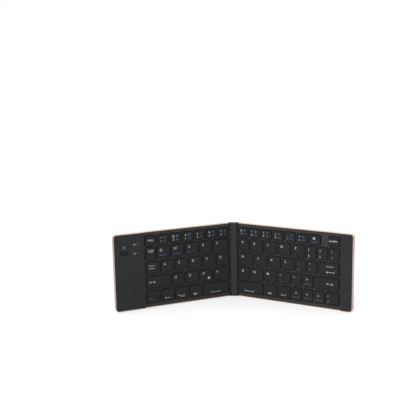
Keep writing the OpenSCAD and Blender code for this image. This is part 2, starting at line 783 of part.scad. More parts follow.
module left_closing_magnets() { color(steel) stand(LEFT) magnets(slab_under); }
module left_feet() { color(rubber_black) stand(LEFT) feet_places() foot(); }

module battery_cell() {
  color(pouch_silver) stand(LEFT) translate([0, 0, cover_t]) linear_extrude(battery_t)
    plate(board_u0, board_u0 + battery_w, battery_y0, battery_y0 + battery_len,
          battery_corner_r, battery_corner_r);
}

// Block of a size that stands at a height, centred on a place.
module chip(u, y, w, size) {
  translate([u - size[0] / 2, y - size[1] / 2, w - eps]) cube([size[0], size[1], size[2] + eps]);
}

// Board with a leg past the battery to the charging socket, its chips, the
// switch under the slider and the two lamps under the status lights.
module main_board() {
  leg_y0 = socket_y0 + skirt_t + over;
  color(board_green) stand(LEFT) {
    difference() {
      translate([0, 0, board_bottom]) linear_extrude(board_t) {
        translate([board_u0, board_y0]) square([board_u1 - board_u0, board_d]);
        translate([board_u1 - board_leg_w, leg_y0]) square([board_leg_w, board_y0 + over - leg_y0]);
      }
      board_posts() cylinder(r = screw_r + pin_clear, h = board_top + over);
    }
    chip(slider_u, slider_y, board_top, switch_size);
    for (y = light_y) chip(light_u, y, board_top, lamp_size);
    for (c = chips)
      chip(board_u0 + c[0][0] + c[1][0] / 2, board_y1 - c[0][1] - c[1][1] / 2, board_top, c[1]);
  }
}

// Tinned shell with a round-ended mouth, a closed back and a flat tongue.
module charging_socket() {
  back_y = socket_y0 + socket_len;
  back_t = 3 * socket_wall;
  color(tinned) stand(LEFT) {
    difference() {
      socket_bar(0, socket_y0, back_y);
      socket_bar(-socket_wall, socket_y0 - over, back_y - back_t);
    }
    translate([socket_u - socket_tongue[0] / 2, socket_y0 + back_t,
               board_top + socket_h / 2 - socket_tongue[1] / 2])
      cube([socket_tongue[0], socket_len - 2 * back_t + eps, socket_tongue[1]]);
  }
}

// Ribbed knob in its slot, a plate under the panel that covers the slot, and a
// pin that moves the switch on the board.
module power_slider() {
  top = slab_top - knob_sink;
  plate_top = slab_under - inner_gap;
  plate_w0 = plate_top - slider_plate_t;
  plate_len = slot_len + slider_travel + 2 * slider_gap;
  pusher_w0 = board_top + switch_size[2] + inner_gap;
  color(key_black) stand(LEFT) translate([slider_u + slider_travel / 2, slider_y, 0]) {
    difference() {
      translate([0, 0, plate_w0]) linear_extrude(top - plate_w0)
        slot_outline(knob_len, slot_w - 2 * slider_gap, slot_corner_r - slider_gap / 2);
      for (i = [-1, 0, 1])
        translate([i * grip_pitch - grip_w / 2, -slot_w / 2, top - grip_depth]) cube([grip_w, slot_w, over]);
    }
    translate([0, 0, plate_w0]) linear_extrude(slider_plate_t)
      square([plate_len, slot_w + 2 * slider_lip], center = true);
    translate([0, 0, pusher_w0]) cylinder(r = pusher_r, h = plate_w0 - pusher_w0 + eps);
  }
}

// Light pipe from the lamp on the board up to the panel's face.
module status_lights() {
  w0 = board_top + lamp_size[2];
  color(light_white) stand(LEFT) for (y = light_y) translate([light_u, y, 0]) {
    translate([0, 0, w0]) cylinder(r = light_r, h = slab_top - w0);
    translate([0, 0, slab_under - light_flange_t]) cylinder(r = light_r + light_flange_w, h = light_flange_t);
  }
}

module right_bottom_cover() { color(rose_gold) stand(RIGHT) metal_cover(lip_u0, lip_wall_h); }
module right_top_deck() { color(deck_black) stand(RIGHT) key_deck(RIGHT); }
module right_end_strip() { color(deck_black) stand(RIGHT) end_panel(lip_u0, lip_top, lip_under); }
module right_key_chassis() { color(steel) stand(RIGHT) key_chassis(RIGHT); }
module right_dome_sheet() { color(silicone_grey) stand(RIGHT) dome_sheet(RIGHT); }
module right_hinge_leaf() { color(black_steel) stand(RIGHT) hinge_leaf(); }
module right_screws() { color(steel) stand(RIGHT) chassis_screws(RIGHT); }
module right_closing_magnets() { color(steel) stand(RIGHT) magnets(lip_under); }
module right_feet() { color(rubber_black) stand(RIGHT) feet_places() foot(); }

module key_escape() { keycaps(LEFT, 0, 0, 0); }
module keys_left_numbers() { keycaps(LEFT, 0, 1, 6); }
module key_tab() { keycaps(LEFT, 1, 0, 0); }
module keys_left_upper_letters() { keycaps(LEFT, 1, 1, 5); }
module key_caps_lock() { keycaps(LEFT, 2, 0, 0); }
module keys_left_home_letters() { keycaps(LEFT, 2, 1, 5); }
module key_left_shift() { keycaps(LEFT, 3, 0, 0); }
module keys_left_lower_letters() { keycaps(LEFT, 3, 1, 4); }
module key_function() { keycaps(LEFT, 4, 0, 0); }
module key_left_control() { keycaps(LEFT, 4, 1, 1); }
module key_left_option() { keycaps(LEFT, 4, 2, 2); }
module key_left_command() { keycaps(LEFT, 4, 3, 3); }
module key_left_space() { keycaps(LEFT, 4, 4, 4); }

module keys_right_numbers() { keycaps(RIGHT, 0, 0, 6); }
module key_backspace() { keycaps(RIGHT, 0, 8, 8); }
module keys_right_upper_letters() { keycaps(RIGHT, 1, 0, 4); }
module keys_brackets() { keycaps(RIGHT, 1, 5, 7); }
module keys_right_home_letters() { keycaps(RIGHT, 2, 0, 3); }
module keys_semicolon_quote() { keycaps(RIGHT, 2, 4, 5); }
module key_enter() { keycaps(RIGHT, 2, 6, 6); }
module keys_right_lower_letters() { keycaps(RIGHT, 3, 0, 2); }
module keys_comma_period() { keycaps(RIGHT, 3, 3, 4); }
module key_up_arrow() { keycaps(RIGHT, 3, 5, 5); }
module key_right_shift() { keycaps(RIGHT, 3, 6, 6); }
module key_right_space() { keycaps(RIGHT, 4, 0, 0); }
module key_right_option() { keycaps(RIGHT, 4, 1, 1); }
module key_right_control() { keycaps(RIGHT, 4, 2, 2); }
module key_left_arrow() { keycaps(RIGHT, 4, 3, 3); }
module key_down_arrow() { keycaps(RIGHT, 4, 4, 4); }
module key_right_arrow() { keycaps(RIGHT, 4, 5, 5); }
module key_slash() { keycaps(RIGHT, 4, 6, 6); }

hinge_spine();
spine_end_caps();
left_hinge_pin();
right_hinge_pin();
flex_cable();
left_bottom_cover();
left_top_deck();
left_control_panel();
left_key_chassis();
left_dome_sheet();
left_hinge_leaf();
left_screws();
left_closing_magnets();
left_feet();
battery_cell();
main_board();
charging_socket();
power_slider();
status_lights();
right_bottom_cover();
right_top_deck();
right_end_strip();
right_key_chassis();
right_dome_sheet();
right_hinge_leaf();
right_screws();
right_closing_magnets();
right_feet();
key_escape();
keys_left_numbers();
key_tab();
keys_left_upper_letters();
key_caps_lock();
keys_left_home_letters();
key_left_shift();
keys_left_lower_letters();
key_function();
key_left_control();
key_left_option();
key_left_command();
key_left_space();
keys_right_numbers();
key_backspace();
keys_right_upper_letters();
keys_brackets();
keys_right_home_letters();
keys_semicolon_quote();
key_enter();
keys_right_lower_letters();
keys_comma_period();
key_up_arrow();
key_right_shift();
key_right_space();
key_right_option();
key_right_control();
key_left_arrow();
key_down_arrow();
key_right_arrow();
key_slash();
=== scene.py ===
# %% [markdown]
# # A folding keyboard, dressed for its picture
# The keyboard stands open in a wide V on its front long edges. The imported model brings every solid
# piece at its real size and place. This lesson adds what the eye wants to see: keycaps with soft
# edges, the printing on them, rubber feet, and a finish for every surface.

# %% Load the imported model
import json
import math

import bmesh
import bpy
import numpy as np
from mathutils import Matrix, Vector

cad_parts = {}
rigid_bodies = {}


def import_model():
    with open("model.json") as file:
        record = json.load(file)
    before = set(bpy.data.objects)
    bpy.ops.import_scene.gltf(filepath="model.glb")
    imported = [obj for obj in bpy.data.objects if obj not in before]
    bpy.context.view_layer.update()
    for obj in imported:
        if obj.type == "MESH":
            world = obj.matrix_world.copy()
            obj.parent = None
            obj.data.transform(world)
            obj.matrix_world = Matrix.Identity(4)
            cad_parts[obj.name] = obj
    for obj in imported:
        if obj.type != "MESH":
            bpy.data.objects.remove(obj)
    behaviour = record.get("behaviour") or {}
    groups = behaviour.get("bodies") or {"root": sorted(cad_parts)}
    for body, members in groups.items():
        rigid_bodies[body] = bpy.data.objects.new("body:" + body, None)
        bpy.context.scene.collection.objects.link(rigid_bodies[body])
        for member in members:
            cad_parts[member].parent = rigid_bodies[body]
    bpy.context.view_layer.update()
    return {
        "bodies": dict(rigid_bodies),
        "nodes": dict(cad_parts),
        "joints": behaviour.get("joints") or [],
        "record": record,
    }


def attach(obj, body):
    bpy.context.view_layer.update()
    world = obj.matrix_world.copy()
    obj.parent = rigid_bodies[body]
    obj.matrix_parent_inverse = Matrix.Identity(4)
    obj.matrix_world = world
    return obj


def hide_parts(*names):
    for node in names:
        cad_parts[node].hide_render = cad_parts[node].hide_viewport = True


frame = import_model()
nodes = frame["nodes"]
MM = 0.001
print("pieces loaded:", len(nodes))

# %% [markdown]
# ## The picture's camera
# A long lens from a little above, and a touch to the right, sees both halves at once. The camera
# leans by about a degree, as a hand-held one does. Three angles are enough to turn it: round the
# upright axis, down from the horizon, and about its own line of sight. The fit that set them put
# the middle of the picture to one side, so the frame is shifted by a small share of its width.

# %% Camera
CAMERA_PLACE = Vector((0.0245, -0.9108, 0.3167))
CAMERA_TURN = math.radians(3.067)
CAMERA_DOWN = math.radians(11.650)
CAMERA_LEAN = math.radians(-1.001)
CAMERA_LENS = 70.80
CAMERA_SHIFT = -0.03


def camera_turned(turn, down, lean):
    """Rotation whose columns are the camera's right, up and backward directions."""
    ahead = Vector((-math.sin(turn) * math.cos(down), math.cos(turn) * math.cos(down), -math.sin(down)))
    level = Vector((math.cos(turn), math.sin(turn), 0))
    upright = level.cross(ahead)
    right = level * math.cos(lean) + upright * math.sin(lean)
    up = upright * math.cos(lean) - level * math.sin(lean)
    return Matrix((right, up, -ahead)).transposed()


camera = bpy.data.objects.new("camera", bpy.data.cameras.new("camera"))
bpy.context.scene.collection.objects.link(camera)
camera.data.lens = CAMERA_LENS
camera.data.shift_x = CAMERA_SHIFT
camera.data.sensor_width = 36
camera.data.clip_start, camera.data.clip_end = 0.05, 20
camera.location = CAMERA_PLACE
camera.rotation_euler = camera_turned(CAMERA_TURN, CAMERA_DOWN, CAMERA_LEAN).to_euler()
bpy.context.scene.camera = camera
bpy.context.scene.view_settings.view_transform = "Standard"

# %% [markdown]
# ## Directions of a half
# Everything on a half is easier to place in the half's own directions: `u` from its hinge axis to
# its outer end, `y` up along the hinge, and `w` out through its keys. The model already knows them.
# A key is pressed straight into its half, so the opposite of its joint's axis is `w`, and a cross
# product with the upright gives `u`.

# %% Half directions
joints = {joint["child"]: joint for joint in frame["joints"]}


def half_directions(side):
    """Point on the hinge axis, and rows u, y, w as unit vectors, all as arrays."""
    a_key = {"left": "key_escape", "right": "key_backspace"}[side]
    out = -Vector(joints[a_key]["axis"]).normalized()
    up = Vector((0, 0, 1))
    along = out.cross(up) if side == "left" else up.cross(out)
    axis_point = Vector(joints[side + "_half"]["pos_m"])
    axis_point.z = 0
    return np.array(axis_point), np.array([along, up, out])


HALVES = {side: half_directions(side) for side in ("left", "right")}


def from_half(points, side):
    """Points given as (u, y, w) in metres, as points of the model."""
    origin, rows = HALVES[side]
    return origin + np.asarray(points) @ rows


def to_half(points, side):
    """Points of the model, as (u, y, w) in metres."""
    origin, rows = HALVES[side]
    return (np.asarray(points) - origin) @ rows.T


def node_points(name):
    """All of a node's corner points, as one array."""
    mesh = nodes[name].data
    flat = np.empty(len(mesh.vertices) * 3, np.float32)
    mesh.vertices.foreach_get("co", flat)
    return flat.reshape(-1, 3).astype(float)


print("left half runs along", np.round(HALVES["left"][1][0], 3))

# %% [markdown]
# ## Colours and the grain of a surface
# Colours are written as the eye reads them on a screen, and turned into linear light here. No real
# surface is one flat colour, so each finish also gets a slow drift in tone and a fine grain that
# tilts the light. Both read the Object coordinates, which lie in metres on the unmoved mesh.

# %% Material helpers


def linear(colour):
    """Screen colour (0 to 1) as linear light: a power law above a short straight foot."""
    c = np.asarray(colour, float)
    return (*np.where(c <= 0.04045, c / 12.92, ((c + 0.055) / 1.055) ** 2.4), 1.0)


def start_finish(name, roughness, metallic=0.0, specular=0.5):
    """New node material with its numbers set; returns the material and its shader node."""
    material = bpy.data.materials.new(name)
    material.use_nodes = True
    shader = material.node_tree.nodes["Principled BSDF"]
    shader.inputs["Roughness"].default_value = roughness
    shader.inputs["Metallic"].default_value = metallic
    shader.inputs["Specular IOR Level"].default_value = specular
    return material, shader


def add_node(material, kind, **settings):
    """Adds a node and sets its inputs by name."""
    node = material.node_tree.nodes.new(kind)
    for name, value in settings.items():
        node.inputs[name.replace("_", " ")].default_value = value
    return node


def math_node(tree, operation, *values):
    """Math node whose inputs are numbers or other nodes' outputs."""
    node = tree.nodes.new("ShaderNodeMath")
    node.operation = operation
    for socket, value in zip(node.inputs, values):
        if isinstance(value, (int, float)):
            socket.default_value = value
        else:
            tree.links.new(value, socket)
    return node.outputs["Value"]


def picture_ray(tree):
    """One for the rays of the camera, mirrors and glass, and nothing for the rest."""
    path = tree.nodes.new("ShaderNodeLightPath")
    seen = math_node(tree, "MAXIMUM", path.outputs["Is Camera Ray"], path.outputs["Is Glossy Ray"])
    return math_node(tree, "MAXIMUM", seen, path.outputs["Is Transmission Ray"])


def noise_field(material, scale, detail=2.0, stretch=(1, 1, 1)):
    """Noise over the Object coordinates, with scale in features per metre."""
    links = material.node_tree.links
    place = material.node_tree.nodes.new("ShaderNodeTexCoord")
    mapping = add_node(material, "ShaderNodeMapping", Scale=stretch)
    noise = add_node(material, "ShaderNodeTexNoise", Scale=scale, Detail=detail)
    links.new(place.outputs["Object"], mapping.inputs["Vector"])
    links.new(mapping.outputs["Vector"], noise.inputs["Vector"])
    return noise.outputs["Fac"]


def drift_colour(material, shader, colour, spread, scale, detail=2.0, stretch=(1, 1, 1)):
    """Base colour that drifts by a share either way of its value."""
    ramp = material.node_tree.nodes.new("ShaderNodeValToRGB")
    base = np.array(linear(colour))
    for stop, share in zip(ramp.color_ramp.elements, (1 - spread, 1 + spread)):
        stop.color = (*np.clip(base[:3] * share, 0, 1), 1)
    ramp.color_ramp.elements[0].position = 0.35
    ramp.color_ramp.elements[1].position = 0.65
    material.node_tree.links.new(noise_field(material, scale, detail, stretch), ramp.inputs["Fac"])
    material.node_tree.links.new(ramp.outputs["Color"], shader.inputs["Base Color"])


def grain_bump(material, shader, scale, depth, strength, detail=2.0, stretch=(1, 1, 1)):
    """Fine grain: noise as a height, in metres, that tilts the surface's light."""
    bump = add_node(material, "ShaderNodeBump", Strength=strength, Distance=depth)
    material.node_tree.links.new(noise_field(material, scale, detail, stretch), bump.inputs["Height"])
    material.node_tree.links.new(bump.outputs["Normal"], shader.inputs["Normal"])


def roughness_drift(material, shader, low, high, scale, stretch=(1, 1, 1)):
    """Roughness that wanders between two values."""
    span = add_node(material, "ShaderNodeMapRange")
    span.inputs["To Min"].default_value = low
    span.inputs["To Max"].default_value = high
    material.node_tree.links.new(noise_field(material, scale, 3.0, stretch), span.inputs["Value"])
    material.node_tree.links.new(span.outputs["Result"], shader.inputs["Roughness"])


# %% [markdown]
# ## Finishes
# The covers are blasted aluminium, dyed rose gold: metal, but with a grain so fine that it shines
# like silk. The outer end walls get painted shade: a deeper tone, fitted to the picture, where they
# look darker.
# The decks are moulded in charcoal with a matt grain. The keys are a little darker, with painted
# shade, near black, over their rims, which is what outlines them. The spine has painted shade on its
# round sides, which leaves a paler band along its flat front. The rest is rubber, steel and print.
#
# The covers, the keys and the spine each carry painted shade, as a second colour over their first. One
# helper puts the second colour over the first by a factor between nothing and one, which comes from the
# place on the piece or from a value stored on its points.

# %% Finishes of the visible shells
# Painted shade: the spine's round sides are darker than its flat front because they turn away from the
# light. The band and blend set where the front ends.
SPINE_FRONT, SPINE_SIDE_SHADE = (0.21, 0.21, 0.22), (0.12, 0.12, 0.12)
SPINE_BAND, SPINE_BLEND = 3.0 * MM, 0.4 * MM
# Painted shade: a deeper rose gold for the outer end walls, standing in for the shade they lie in. The
# skin is the width of its blend.
END_WALL_SHADE, WALL_SKIN = (0.78, 0.70, 0.65), 0.3 * MM
# Painted shade: the near black over the key rims and walls stands in for the shade in the gap round each
# key.
KEY_FACE, KEY_RIM_SHADE = (0.135, 0.137, 0.139), (0.02, 0.02, 0.022)


def mix_painted_shade(material, factor, colour, at_one=True):
    """Mixes a colour into the base colour, for painted shade: it shows where the factor is one, or where
    it is nothing.
    """
    tree = material.node_tree
    base = tree.nodes["Principled BSDF"].inputs["Base Color"]
    first = base.links[0].from_socket
    mix = tree.nodes.new("ShaderNodeMix")
    mix.data_type = "RGBA"
    mix.inputs["B" if at_one else "A"].default_value = linear(colour)
    tree.links.new(factor, mix.inputs["Factor"])
    tree.links.new(first, mix.inputs["A" if at_one else "B"])
    tree.links.new(mix.outputs["Result"], base)


def object_place(material):
    """The Object coordinates, split into x, y and z."""
    place = material.node_tree.nodes.new("ShaderNodeTexCoord")
    split = material.node_tree.nodes.new("ShaderNodeSeparateXYZ")
    material.node_tree.links.new(place.outputs["Object"], split.inputs["Vector"])
    return split


def paint_end_wall_shade(material):
    """Painted shade on the outer end walls: (|x|, y) . outward, past the wall's place, counts as wall."""
    reach_out = to_half(node_points("left_bottom_cover"), "left")[:, 0].max()
    end = from_half([[reach_out, 0, 0]], "left")[0]
    outward = HALVES["right"][1][0]
    limit = float(abs(end[0]) * outward[0] + end[1] * outward[1]) - WALL_SKIN
    tree = material.node_tree
    split = object_place(material)
    joined = tree.nodes.new("ShaderNodeCombineXYZ")
    tree.links.new(math_node(tree, "ABSOLUTE", split.outputs["X"]), joined.inputs["X"])
    tree.links.new(split.outputs["Y"], joined.inputs["Y"])
    reach = tree.nodes.new("ShaderNodeVectorMath")
    reach.operation = "DOT_PRODUCT"
    reach.inputs[1].default_value = outward.tolist()
    tree.links.new(joined.outputs["Vector"], reach.inputs[0])
    wall = add_node(material, "ShaderNodeMapRange", From_Min=limit - WALL_SKIN, From_Max=limit)
    tree.links.new(reach.outputs["Value"], wall.inputs["Value"])
    # Painted shade: the deeper tone goes over the outer end walls.
    mix_painted_shade(material, wall.outputs["Result"], END_WALL_SHADE)


def rose_gold():
    """Blasted, dyed aluminium. Metallic is held low, so that its tone follows the picture's."""
    material, shader = start_finish("rose_gold", 0.5, metallic=0.3)
    drift_colour(material, shader, (0.975, 0.878, 0.818), 0.012, 60)
    roughness_drift(material, shader, 0.45, 0.55, 900)
    grain_bump(material, shader, 6500, 0.00001, 0.35, detail=1.0)
    paint_end_wall_shade(material)
    return material


def moulded_charcoal(name, colour, roughness, grain=5200):
    """Moulded plastic with a spark-eroded matt grain."""
    material, shader = start_finish(name, roughness, specular=0.2)
    drift_colour(material, shader, colour, 0.06, 140, detail=4.0)
    roughness_drift(material, shader, roughness - 0.05, roughness + 0.05, 700)
    grain_bump(material, shader, grain, 0.00002, 0.45, detail=2.0)
    return material


def key_face_and_rim_shade():
    """Key plastic: a charcoal face, with painted shade blended to near black over the rim and down the
    walls.
    """
    material = moulded_charcoal("key_black", KEY_FACE, 0.45, grain=7000)
    share = material.node_tree.nodes.new("ShaderNodeAttribute")
    share.attribute_name = "face_share"
    # Painted shade over the rims and walls, where the face share falls to nothing.
    mix_painted_shade(material, share.outputs["Fac"], KEY_RIM_SHADE, at_one=False)
    return material


def spine_front_and_side_shade():
    """Spine plastic: painted shade darkens the round sides, which leaves a paler band along the flat
    front.
    """
    material = moulded_charcoal("spine_grey", SPINE_SIDE_SHADE, 0.42)
    band = add_node(material, "ShaderNodeMapRange", From_Min=SPINE_BAND - SPINE_BLEND,
                    From_Max=SPINE_BAND + SPINE_BLEND, To_Min=1.0, To_Max=0.0)
    band.interpolation_type = "SMOOTHSTEP"
    across = math_node(material.node_tree, "ABSOLUTE", object_place(material).outputs["X"])
    material.node_tree.links.new(across, band.inputs["Value"])
    # Painted shade: the paler front colour goes on the band, and the shaded side colour stays beside it.
    mix_painted_shade(material, band.outputs["Result"], SPINE_FRONT)
    return material


def rubber_black():
    """Soft rubber: dull, with a broad weak shine and a few dusty patches."""
    material, shader = start_finish("rubber_black", 0.7, specular=0.3)
    drift_colour(material, shader, (0.085, 0.085, 0.09), 0.25, 500, detail=5.0)
    grain_bump(material, shader, 3500, 0.00002, 0.5)
    return material


def steel(name, colour, roughness):
    """Drawn steel or tin: streaks along the hinge's direction."""
    material, shader = start_finish(name, roughness, metallic=1.0)
    drift_colour(material, shader, colour, 0.05, 2500, stretch=(1, 1, 0.05))
    grain_bump(material, shader, 4000, 0.000006, 0.3, stretch=(1, 1, 0.04))
    return material


def ink(name, colour):
    """Pad-printed ink, slightly uneven where it lies thin."""
    material, shader = start_finish(name, 0.5, specular=0.3)
    drift_colour(material, shader, colour, 0.06, 1500, detail=3.0)
    return material


def light_pipe():
    """Milky clear plastic that carries a lamp's light to the face."""
    material, shader = start_finish("milky_pipe", 0.25)
    drift_colour(material, shader, (0.55, 0.56, 0.56), 0.04, 900)
    shader.inputs["Subsurface Weight"].default_value = 0.3
    shader.inputs["Subsurface Radius"].default_value = (0.001, 0.001, 0.001)
    return material


finishes = {
    "cover_metal": rose_gold(),
    "deck_plastic": moulded_charcoal("deck_charcoal", (0.235, 0.233, 0.233), 0.5),
    "panel_plastic": moulded_charcoal("panel_charcoal", (0.17, 0.172, 0.177), 0.48),
    "key_plastic": key_face_and_rim_shade(),
    "spine_plastic": spine_front_and_side_shade(),
    "slider_plastic": moulded_charcoal("slider_black", (0.12, 0.12, 0.125), 0.4),
    "foot_rubber": rubber_black(),
    "dome_silicone": moulded_charcoal("dome_grey", (0.55, 0.57, 0.60), 0.5),
    "hinge_black": moulded_charcoal("hinge_black", (0.16, 0.16, 0.165), 0.4),
    "hinge_steel": steel("pin_steel", (0.72, 0.73, 0.75), 0.3),
    "chassis_metal": steel("chassis_metal", (0.75, 0.76, 0.78), 0.4),
    "screw_steel": steel("screw_steel", (0.70, 0.71, 0.73), 0.35),
    "magnet_metal": steel("magnet_metal", (0.78, 0.79, 0.80), 0.2),
    "battery_pouch": steel("pouch_foil", (0.76, 0.77, 0.78), 0.45),
    "board": moulded_charcoal("board_green", (0.10, 0.30, 0.18), 0.35),
    "socket_metal": steel("socket_tin", (0.80, 0.80, 0.78), 0.28),
    "light_pipe": light_pipe(),
    "cable_film": moulded_charcoal("cable_film", (0.75, 0.45, 0.12), 0.35),
    "print_white": ink("white_ink", (0.80, 0.81, 0.82)),
    "print_blue": ink("blue_ink", (0.36, 0.50, 0.66)),
    "print_grey": ink("grey_ink", (0.48, 0.48, 0.52)),
}

for entry in frame["record"]["subparts"]:
    node = nodes[entry["node"]]
    node.data.materials.clear()
    node.data.materials.append(finishes[entry["material_slot"]])
print("finishes:", len(finishes))

# %% [markdown]
# ## From arrays to a mesh
# Each new shape below is an array of points and an array of faces, worked out at once with numpy.
# One helper hands them to Blender in bulk, gives the piece its finish, and lets it ride on a body.

# %% Mesh helper


def make_piece(name, points, faces, body, slot):
    """Piece from points (N, 3) and a list of face arrays, each (M, 3) or (M, 4)."""
    mesh = bpy.data.meshes.new(name)
    mesh.vertices.add(len(points))
    mesh.vertices.foreach_set("co", np.asarray(points, np.float32).ravel())
    sizes = np.concatenate([np.full(len(block), block.shape[1]) for block in faces])
    mesh.loops.add(int(sizes.sum()))
    mesh.loops.foreach_set("vertex_index", np.concatenate([b.ravel() for b in faces]).astype(np.int32))
    mesh.polygons.add(len(sizes))
    mesh.polygons.foreach_set("loop_start", (np.cumsum(sizes) - sizes).astype(np.int32))
    mesh.update(calc_edges=True)
    mesh.validate()
    return finish_piece(name, mesh, body, slot)


def finish_piece(name, mesh, body, slot):
    """Links a mesh as an object at the origin, with its finish, body and slot."""
    mesh.materials.append(finishes[slot])
    piece = bpy.data.objects.new(name, mesh)
    bpy.context.scene.collection.objects.link(piece)
    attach(piece, body)
    return piece


def smooth_by_angle(piece, degrees):
    """Shades a piece smooth, with its sharp edges kept sharp."""
    mesh = piece.data
    mesh.shade_smooth()
    mesh.set_sharp_from_angle(angle=math.radians(degrees))


# %% [markdown]
# ## Keycaps
# A keycap is a rounded rectangle carried along a profile: down the hollow, out under the flange, up
# the wall, over a soft edge, and across the face, which is dished by about a seventh of a
# millimetre so that a fingertip finds its middle. The shapes come from the model: the caps of a
# node are told apart by the gaps between their flanges, and each cap's rectangle is read from its
# walls.

# %% Find the caps in a node
WALL_LEVEL_SHARE = 0.7
CAP_SPLIT_GAP = 0.2 * MM


def find_caps(name, side):
    """Rectangles (u0, u1, y0, y1) of a node's caps, as the viewer reads them, with its lowest and
    highest w.

    The flanges' spans along u, taken triangle by triangle in order, are merged where they meet;
    a gap between them starts a new cap."""
    mesh = nodes[name].data
    points = to_half(node_points(name), side)
    mesh.calc_loop_triangles()
    corners = np.empty(len(mesh.loop_triangles) * 3, np.int32)
    mesh.loop_triangles.foreach_get("vertices", corners)
    spans = points[corners.reshape(-1, 3), 0]
    starts, ends = spans.min(1), spans.max(1)
    order = np.argsort(starts)
    reach = np.maximum.accumulate(ends[order])
    breaks = np.nonzero(starts[order][1:] > reach[:-1] + CAP_SPLIT_GAP)[0]
    edges = np.r_[-np.inf, (starts[order][breaks + 1] + reach[breaks]) / 2, np.inf]
    low, top = points[:, 2].min(), points[:, 2].max()
    wall_level = low + WALL_LEVEL_SHARE * (top - low)
    rectangles = []
    for first, last in zip(edges[:-1], edges[1:]):
        wall = points[(points[:, 0] > first) & (points[:, 0] < last) & (points[:, 2] > wall_level)]
        rectangles.append((wall[:, 0].min(), wall[:, 0].max(), wall[:, 1].min(), wall[:, 1].max()))
    rectangles.sort(key=lambda r: r[0], reverse=side == "left")
    return rectangles, low, top


print("caps in the left number row:", len(find_caps("keys_left_numbers", "left")[0]))

# %% [markdown]
# The ring round a cap is built from corner arcs joined by short straight runs. Moving the ring in
# by a distance makes the rectangle smaller and its corners tighter. That one rule, with a height
# for each ring, makes the whole cap.

# %% Keycap surface
CAP_CORNER = 1.5 * MM
CAP_EDGE = 0.45 * MM
CAP_DISH = 0.14 * MM
FLANGE_OUT = 0.65 * MM
FLANGE_THICK = 0.58 * MM
CAP_WALL = 1.0 * MM
TIGHTEST_CORNER = 0.2 * MM
# Shares of the face colour over the soft edge and on the first face ring; the rest is the painted rim
# shade.
EDGE_SHARE, FIRST_FACE_SHARE = 0.35, 0.9
CORNER_STEPS = 6
RUN_STEPS = 5
EDGE_STEPS = 5
FACE_RINGS = (0.12, 0.3, 0.55, 0.8)


def rounded_ring(half_u, half_y, radius):
    """Points round a rectangle centred on zero, against the clock, corners as quarter arcs."""
    turns = np.linspace(0, math.pi / 2, CORNER_STEPS)
    runs = np.linspace(0, 1, RUN_STEPS + 2)[1:-1, None]
    ring = []
    for quarter in range(4):
        signs = np.array(((1, 1), (-1, 1), (-1, -1), (1, -1))[quarter])
        middle = signs * (half_u - radius, half_y - radius)
        angle = turns + quarter * math.pi / 2
        arc = middle + radius * np.stack((np.cos(angle), np.sin(angle)), 1)
        next_signs = np.array(((-1, 1), (-1, -1), (1, -1), (1, 1))[quarter])
        step = (quarter + 1) * math.pi / 2
        next_start = next_signs * (half_u - radius, half_y - radius) + radius * np.array(
            (math.cos(step), math.sin(step)))
        ring.append(arc)
        ring.append(arc[-1] + (next_start - arc[-1]) * runs)
    return np.concatenate(ring)


def dish_height(u, y, half_u, half_y):
    """Depth of the dish: greatest in the middle of the face and nothing at its edges."""
    inside_u = np.clip(1 - (u / (half_u - CAP_EDGE)) ** 2, 0, 1)
    inside_y = np.clip(1 - (y / (half_y - CAP_EDGE)) ** 2, 0, 1)
    return -CAP_DISH * inside_u * inside_y


def cap_surface(rectangle, low, top):
    """Closed cap, hollow from below, as rings of points and their faces, in (u, y, w)."""
    u0, u1, y0, y1 = rectangle
    half_u, half_y = (u1 - u0) / 2, (y1 - y0) / 2
    bend = np.linspace(0, math.pi / 2, EDGE_STEPS)
    deep = min(half_u, half_y) - CAP_EDGE
    insets = np.r_[CAP_WALL, CAP_WALL, -FLANGE_OUT, -FLANGE_OUT, 0, CAP_EDGE * (1 - np.cos(bend)),
                   CAP_EDGE + deep * np.array(FACE_RINGS)]
    heights = np.r_[top - CAP_WALL, low, low, low + FLANGE_THICK, low + FLANGE_THICK,
                    top - CAP_EDGE * (1 - np.sin(bend)), np.full(len(FACE_RINGS), top)]
    # How much of the face colour each ring takes; the rest is the painted rim shade.
    rim_shares = np.r_[np.zeros(5), np.linspace(0, EDGE_SHARE, EDGE_STEPS), FIRST_FACE_SHARE,
                       np.ones(len(FACE_RINGS) - 1)]
    rings = []
    for inset, height in zip(insets, heights):
        ring = rounded_ring(half_u - inset, half_y - inset, max(CAP_CORNER - inset, TIGHTEST_CORNER))
        on_face = inset > CAP_EDGE and height == top
        dish = dish_height(ring[:, 0], ring[:, 1], half_u, half_y) if on_face else 0
        rings.append(np.column_stack((ring, np.full(len(ring), height) + dish)))
    count = len(rings[0])
    poles = np.array([[0, 0, top - CAP_WALL], [0, 0, top - CAP_DISH]])
    points = np.concatenate(rings + [poles]) + ((u0 + u1) / 2, (y0 + y1) / 2, 0)
    here = np.arange(count)
    after = (here + 1) % count
    levels = np.arange(len(rings) - 1)[:, None] * count
    quads = np.stack((levels + here, levels + after, levels + count + after, levels + count + here), -1)
    last = (len(rings) - 1) * count
    bottom = np.stack((after, here, np.full(count, last + count)), 1)
    face = np.stack((last + here, last + after, np.full(count, last + count + 1)), 1)
    shares = np.r_[np.repeat(rim_shares, count), 0, 1]
    return points, quads.reshape(-1, 4), np.concatenate((bottom, face)), shares


def join_surfaces(surfaces):
    """Joins several (points, quads, triangles) into one."""
    offset, points, quads, triangles = 0, [], [], []
    for some_points, some_quads, some_triangles in surfaces:
        points.append(some_points)
        quads.append(some_quads + offset)
        triangles.append(some_triangles + offset)
        offset += len(some_points)
    return np.concatenate(points), np.concatenate(quads), np.concatenate(triangles)


def turned_out(quads, triangles, side):
    """Faces wound the other way on the left half, whose directions are left-handed."""
    return (quads[:, ::-1], triangles[:, ::-1]) if side == "left" else (quads, triangles)


